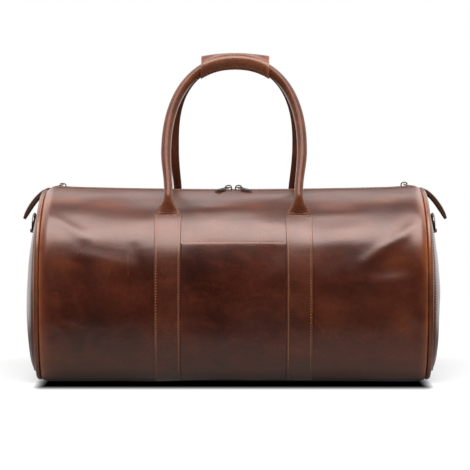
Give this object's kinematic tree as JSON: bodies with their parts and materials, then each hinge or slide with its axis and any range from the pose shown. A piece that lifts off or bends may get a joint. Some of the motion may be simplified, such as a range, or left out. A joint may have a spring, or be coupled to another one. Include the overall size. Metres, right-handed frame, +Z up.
{
  "type": "garment duffle bag",
  "caption": "Rounded barrel duffle bag in smooth leather with rolled handles, a closed top zip, strap bands and end rings.",
  "frame": {"origin": "middle of the box round the bag, on the floor that it stands on", "axes": "+X along the barrel to the wearer's right when facing the pocket, -Y towards the front pocket, +Z up"},
  "size_m": [0.5788, 0.2696, 0.4361],
  "materials": {
    "hull_leather": "waxed pull-up leather, semi-gloss",
    "trim_leather": "waxed leather with paler worn edges",
    "core_foam": "dull",
    "zip_tape": "woven tape",
    "zip_metal": "antique, satin",
    "ring_metal": "dark antique, satin",
    "lining_cloth": "plain woven cotton",
    "board_stock": "dull"
  },
  "bodies": {
    "bag_body": {"back_panel": "hull_leather", "base_board": "board_stock", "base_panel": "hull_leather", "d_ring_tab_left": "trim_leather", "d_ring_tab_right": "trim_leather", "end_panel_left": "hull_leather", "end_panel_right": "hull_leather", "end_piping_left": "trim_leather", "end_piping_right": "trim_leather", "front_panel": "hull_leather", "front_pocket": "hull_leather", "garment_zip_chain": "zip_metal", "garment_zip_tape_back": "zip_tape", "garment_zip_tape_front": "zip_tape", "handle_tab_back_left": "trim_leather", "handle_tab_back_right": "trim_leather", "handle_tab_front_left": "trim_leather", "handle_tab_front_right": "trim_leather", "lining": "lining_cloth", "main_zip_chain": "zip_metal", "main_zip_tape_back": "zip_tape", "main_zip_tape_front": "zip_tape", "strap_back_left": "trim_leather", "strap_back_right": "trim_leather", "strap_front_left": "trim_leather", "strap_front_right": "trim_leather", "top_strip": "hull_leather"},
    "front_handle_body": {"front_handle": "trim_leather", "front_handle_core": "core_foam", "handle_wrap": "trim_leather"},
    "back_handle_body": {"back_handle": "trim_leather", "back_handle_core": "core_foam"},
    "wrap_flap_body": {"handle_wrap_flap": "trim_leather", "wrap_snap_left": "zip_metal", "wrap_snap_right": "zip_metal"},
    "main_slider_left_body": {"main_slider_left": "zip_metal"},
    "main_pull_left_body": {"main_pull_left": "zip_metal"},
    "end_slider_left_body": {"end_slider_left": "zip_metal"},
    "end_puller_left_body": {"end_puller_left_link": "zip_metal", "end_puller_left_leather": "trim_leather"},
    "d_ring_left_body": {"d_ring_left": "ring_metal"},
    "main_slider_right_body": {"main_slider_right": "zip_metal"},
    "main_pull_right_body": {"main_pull_right": "zip_metal"},
    "end_slider_right_body": {"end_slider_right": "zip_metal"},
    "end_puller_right_body": {"end_puller_right_link": "zip_metal", "end_puller_right_leather": "trim_leather"},
    "d_ring_right_body": {"d_ring_right": "ring_metal"}
  },
  "joints": [
    {"name": "front_handle_fold", "type": "hinge", "parent": "bag_body", "child": "front_handle_body", "pos_m": [0, -0.0887, 0.248], "axis": [1, 0, 0], "range_deg": [0, 150], "deforming": ["handle_wrap"]},
    {"name": "back_handle_fold", "type": "hinge", "parent": "bag_body", "child": "back_handle_body", "pos_m": [0, 0.0887, 0.248], "axis": [-1, 0, 0], "range_deg": [0, 150]},
    {"name": "wrap_flap_open", "type": "hinge", "parent": "front_handle_body", "child": "wrap_flap_body", "pos_m": [0, 0, 0.4361], "axis": [1, 0, 0], "range_deg": [0, 120], "deforming": ["handle_wrap_flap"]},
    {"name": "main_slider_left_slide", "type": "slide", "parent": "bag_body", "child": "main_slider_left_body", "axis": [-0.9999, 0, 0.0135], "range_m": [0, 0.2]},
    {"name": "main_pull_left_lift", "type": "hinge", "parent": "main_slider_left_body", "child": "main_pull_left_body", "pos_m": [-0.0068, -0.0162, 0.2545], "axis": [-0.788, 0.6157, 0], "range_deg": [0, 120]},
    {"name": "end_slider_left_slide", "type": "slide", "parent": "bag_body", "child": "end_slider_left_body", "axis": [0.9998, 0, -0.0174], "range_m": [0, 0.19], "deforming": ["end_puller_left_leather"]},
    {"name": "end_puller_left_lift", "type": "hinge", "parent": "end_slider_left_body", "child": "end_puller_left_body", "pos_m": [-0.234, 0.0203, 0.2576], "axis": [0, 1, 0], "range_deg": [0, 150]},
    {"name": "d_ring_left_swing", "type": "hinge", "parent": "bag_body", "child": "d_ring_left_body", "pos_m": [-0.2712, 0, 0.196], "axis": [0, -1, 0], "range_deg": [-10, 135]},
    {"name": "main_slider_right_slide", "type": "slide", "parent": "bag_body", "child": "main_slider_right_body", "axis": [0.9999, 0, 0.0135], "range_m": [0, 0.2]},
    {"name": "main_pull_right_lift", "type": "hinge", "parent": "main_slider_right_body", "child": "main_pull_right_body", "pos_m": [0.0068, -0.0162, 0.2545], "axis": [-0.788, -0.6157, 0], "range_deg": [0, 120]},
    {"name": "end_slider_right_slide", "type": "slide", "parent": "bag_body", "child": "end_slider_right_body", "axis": [-0.9998, 0, -0.0174], "range_m": [0, 0.19], "deforming": ["end_puller_right_leather"]},
    {"name": "end_puller_right_lift", "type": "hinge", "parent": "end_slider_right_body", "child": "end_puller_right_body", "pos_m": [0.234, 0.0203, 0.2576], "axis": [0, -1, 0], "range_deg": [0, 150]},
    {"name": "d_ring_right_swing", "type": "hinge", "parent": "bag_body", "child": "d_ring_right_body", "pos_m": [0.2712, 0, 0.196], "axis": [0, 1, 0], "range_deg": [-10, 135]}
  ]
}
